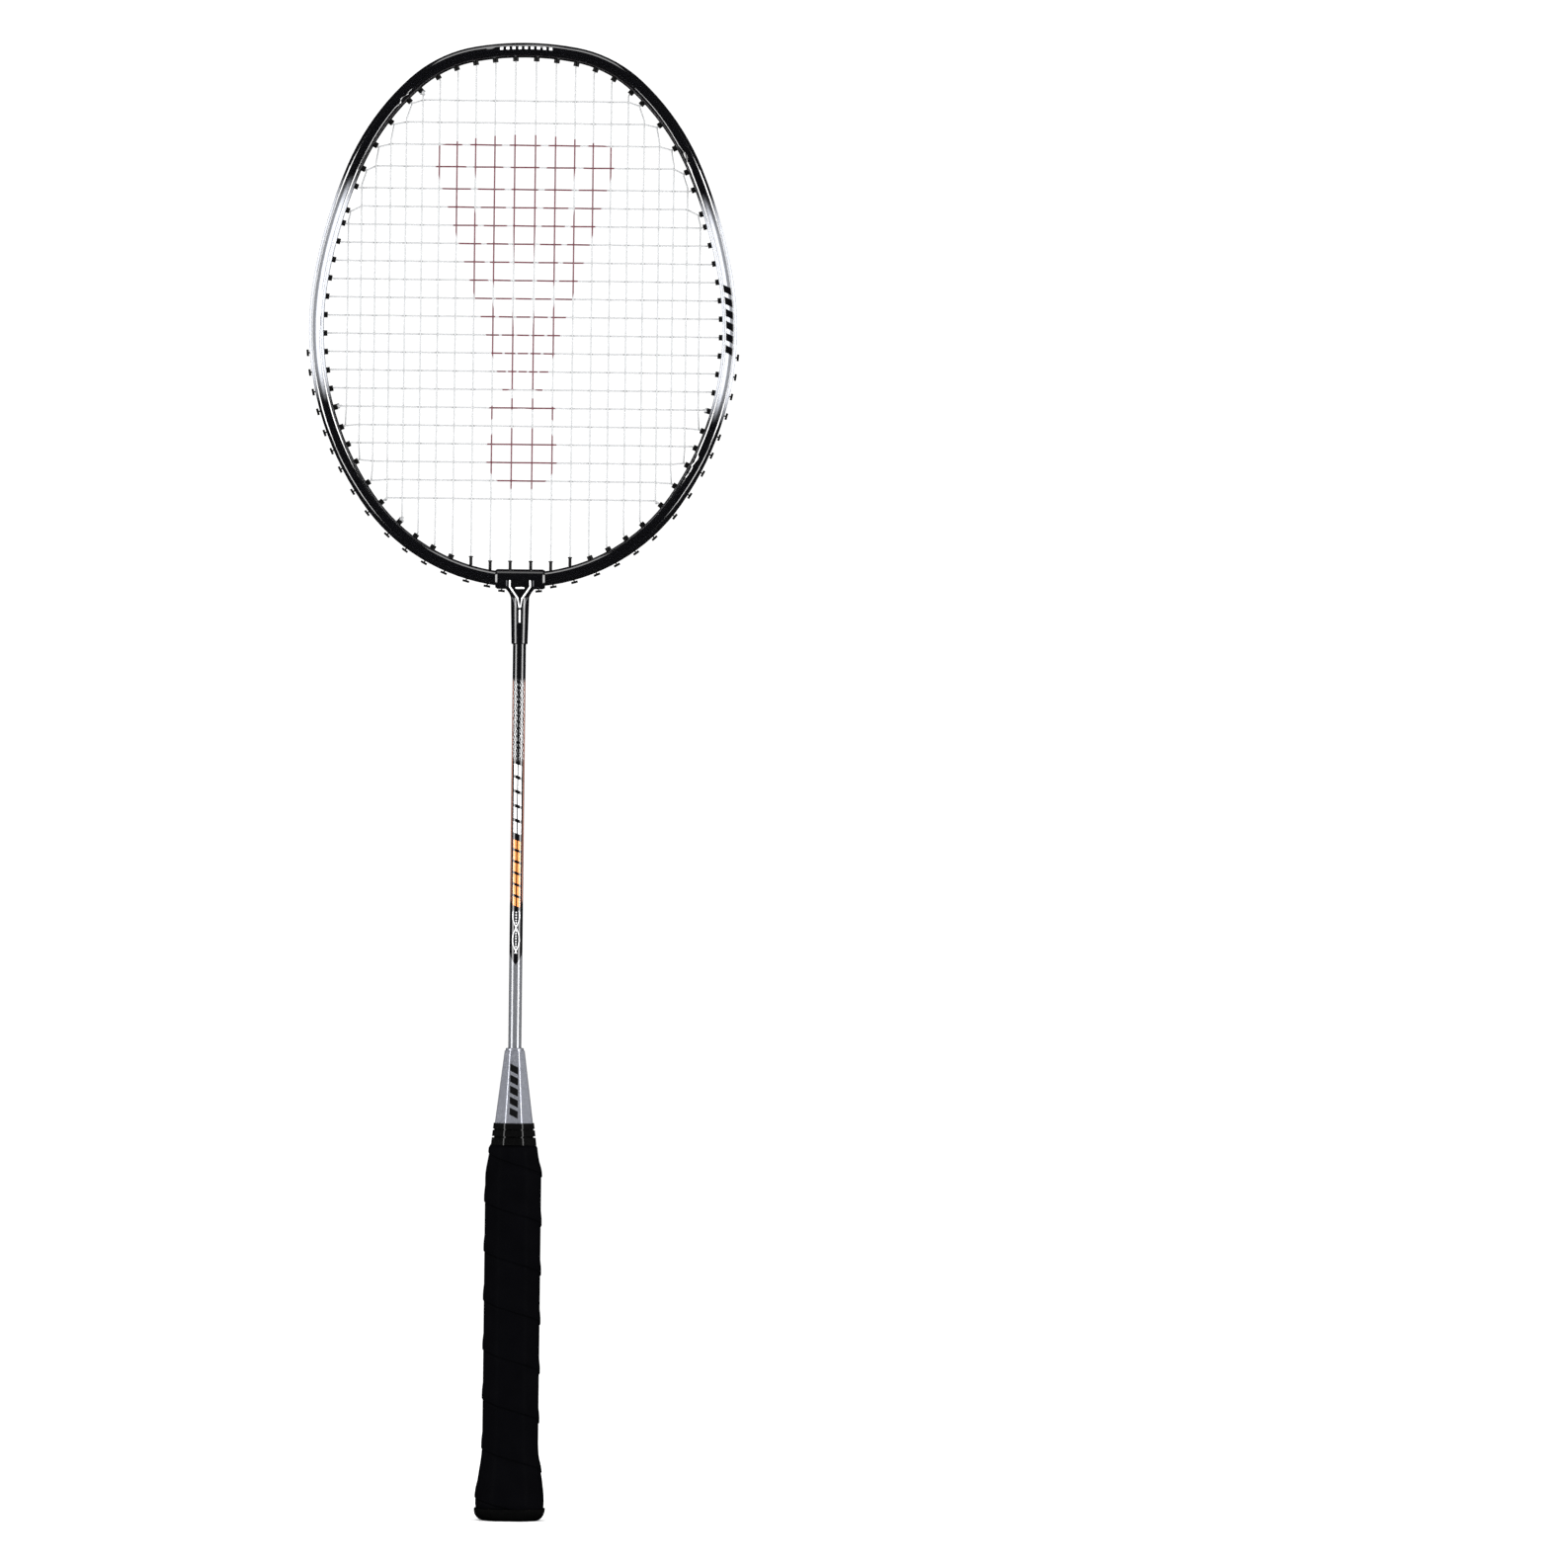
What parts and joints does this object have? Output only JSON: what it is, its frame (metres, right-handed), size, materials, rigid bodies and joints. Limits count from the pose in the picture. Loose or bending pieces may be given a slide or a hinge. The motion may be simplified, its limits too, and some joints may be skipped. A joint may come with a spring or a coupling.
{
  "type": "badminton racket",
  "caption": "Adult badminton racket: oval strung hoop with a string groove, T-joint, slim straight shaft, eight-sided cone and a tape-wrapped handle with a flared butt.",
  "frame": {"origin": "centre of the butt's flat end face", "axes": "+Z along the shaft towards the head, X across the head in the plane of the strings, Y square to the string bed"},
  "size_m": [0.1978, 0.0292, 0.675],
  "materials": {
    "hoop_paint": "gloss",
    "joint_black": "gloss",
    "core_metal": "satin",
    "shaft_paint": "gloss",
    "cone_silver": "gloss",
    "handle_wood": "matte",
    "pin_steel": "satin",
    "grip_tape": "matte",
    "cap_black": "matte",
    "badge_silver": "satin",
    "string_nylon": "gloss",
    "grommet_nylon": "matte"
  },
  "bodies": {
    "root": {"hoop_frame": "hoop_paint", "joint_cover": "joint_black", "joint_core": "core_metal", "shaft": "shaft_paint", "cone_cap": "cone_silver", "collar_ring": "joint_black", "handle_core": "handle_wood", "handle_pin": "pin_steel", "grip_wrap": "grip_tape", "butt_cap": "cap_black", "butt_badge": "badge_silver", "main_string": "string_nylon", "cross_string": "string_nylon", "string_knots": "string_nylon", "crown_grommets": "grommet_nylon", "shoulder_grommets": "grommet_nylon", "side_grommets": "grommet_nylon", "cheek_grommets": "grommet_nylon", "bottom_grommets": "grommet_nylon", "throat_grommets": "grommet_nylon"}
  },
  "joints": []
}
